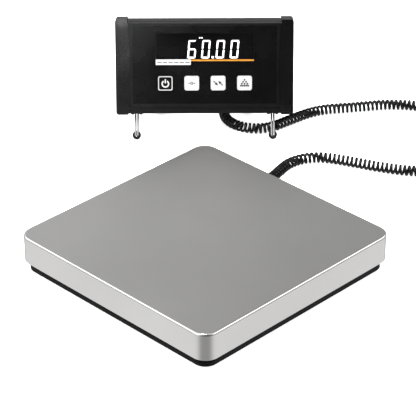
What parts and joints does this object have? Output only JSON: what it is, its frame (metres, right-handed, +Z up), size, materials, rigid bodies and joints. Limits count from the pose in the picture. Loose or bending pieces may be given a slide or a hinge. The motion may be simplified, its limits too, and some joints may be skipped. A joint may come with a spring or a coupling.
{
  "type": "bench scale",
  "caption": "Bench scale: square stainless platform on a black base, separate tilted display unit with keys and wire legs, joined by a curly cord.",
  "frame": {"origin": "under the middle of the box round the platform and the display, on the floor", "axes": "+Z up, +Y from the platform to the display, +X to the reader's right"},
  "size_m": [0.5613, 0.659, 0.1451],
  "materials": {
    "stainless": "brushed stainless sheet, folded rim",
    "base_black": "black powder coat",
    "steel": "plated steel",
    "cell_alloy": "machined aluminium",
    "rubber_black": "moulded rubber",
    "case_black": "fine textured black moulding",
    "cap_black": "satin black moulding",
    "overlay_black": "printed polyester film",
    "window": "dark clear pane",
    "lcd": "liquid crystal cell",
    "backlight_white": "white light guide",
    "board_green": "solder mask",
    "terminal_grey": "moulded terminal",
    "cell_jacket": "shrink sleeve",
    "key_black": "black key",
    "key_white": "white key",
    "wire_chrome": "plated spring wire",
    "cord_black": "black cord jacket"
  },
  "bodies": {
    "root": {"base_tray": "base_black", "base_feet": "rubber_black", "cell_base_plate": "base_black", "lower_spacer": "steel", "load_cell": "cell_alloy", "gauge_sealant": "rubber_black", "cell_base_bolts": "steel", "overload_stops": "steel", "base_gland": "rubber_black", "junction_board": "board_green", "terminal_block": "terminal_grey", "cable_clamp": "case_black", "inner_lead": "cord_black", "front_cover": "case_black", "rear_cover": "case_black", "cover_screws": "steel", "end_cap_left": "cap_black", "end_cap_right": "cap_black", "face_overlay": "overlay_black", "display_window": "window", "lcd_glass": "lcd", "lcd_backlight": "backlight_white", "main_board": "board_green", "tact_switches": "case_black", "buzzer": "case_black", "processor_chip": "case_black", "battery_box": "case_black", "battery_cells": "cell_jacket", "battery_contacts": "steel", "power_socket": "terminal_grey", "leg_block_left": "case_black", "leg_block_right": "case_black", "rear_feet": "rubber_black", "display_gland": "rubber_black", "cord_coil": "cord_black", "tail_platform": "cord_black", "tail_display": "cord_black"},
    "weighing_frame": {"top_frame": "base_black", "upper_spacer": "steel", "frame_screws": "steel", "plate_cushions": "rubber_black"},
    "plate": {"weighing_plate": "stainless"},
    "power_key": {"key_power": "key_black"},
    "zero_key": {"key_zero": "key_white"},
    "unit_key": {"key_unit": "key_white"},
    "count_key": {"key_count": "key_white"},
    "left_leg": {"leg_left": "wire_chrome", "leg_foot_left": "rubber_black"},
    "right_leg": {"leg_right": "wire_chrome", "leg_foot_right": "rubber_black"},
    "door": {"battery_door": "case_black"}
  },
  "joints": [
    {"name": "weighing_travel", "type": "slide", "parent": "root", "child": "weighing_frame", "axis": [0, 0, -1], "range_m": [0, 0.0006], "stiffness_N_per_m": 100000, "springref_m": -0.0006, "deforming": ["load_cell"]},
    {"name": "plate_lift", "type": "slide", "parent": "weighing_frame", "child": "plate", "axis": [0, 0, 1], "range_m": [0, 0.05]},
    {"name": "press_power", "type": "slide", "parent": "root", "child": "power_key", "axis": [0, 0.9613, -0.2756], "range_m": [0, 0.0006], "stiffness_N_per_m": 1200, "springref_m": -0.0004},
    {"name": "press_zero", "type": "slide", "parent": "root", "child": "zero_key", "axis": [0, 0.9613, -0.2756], "range_m": [0, 0.0006], "stiffness_N_per_m": 1200, "springref_m": -0.0004},
    {"name": "press_unit", "type": "slide", "parent": "root", "child": "unit_key", "axis": [0, 0.9613, -0.2756], "range_m": [0, 0.0006], "stiffness_N_per_m": 1200, "springref_m": -0.0004},
    {"name": "press_count", "type": "slide", "parent": "root", "child": "count_key", "axis": [0, 0.9613, -0.2756], "range_m": [0, 0.0006], "stiffness_N_per_m": 1200, "springref_m": -0.0004},
    {"name": "left_leg_fold", "type": "hinge", "parent": "root", "child": "left_leg", "pos_m": [-0.086, 0.23513, 0.02543], "axis": [1, 0, 0], "range_deg": [0, 108]},
    {"name": "right_leg_fold", "type": "hinge", "parent": "root", "child": "right_leg", "pos_m": [0.086, 0.23513, 0.02543], "axis": [1, 0, 0], "range_deg": [0, 108], "deforming": ["cord_coil"]},
    {"name": "battery_door_off", "type": "slide", "parent": "root", "child": "door", "axis": [0, 0.9613, -0.2756], "range_m": [0, 0.02]}
  ]
}
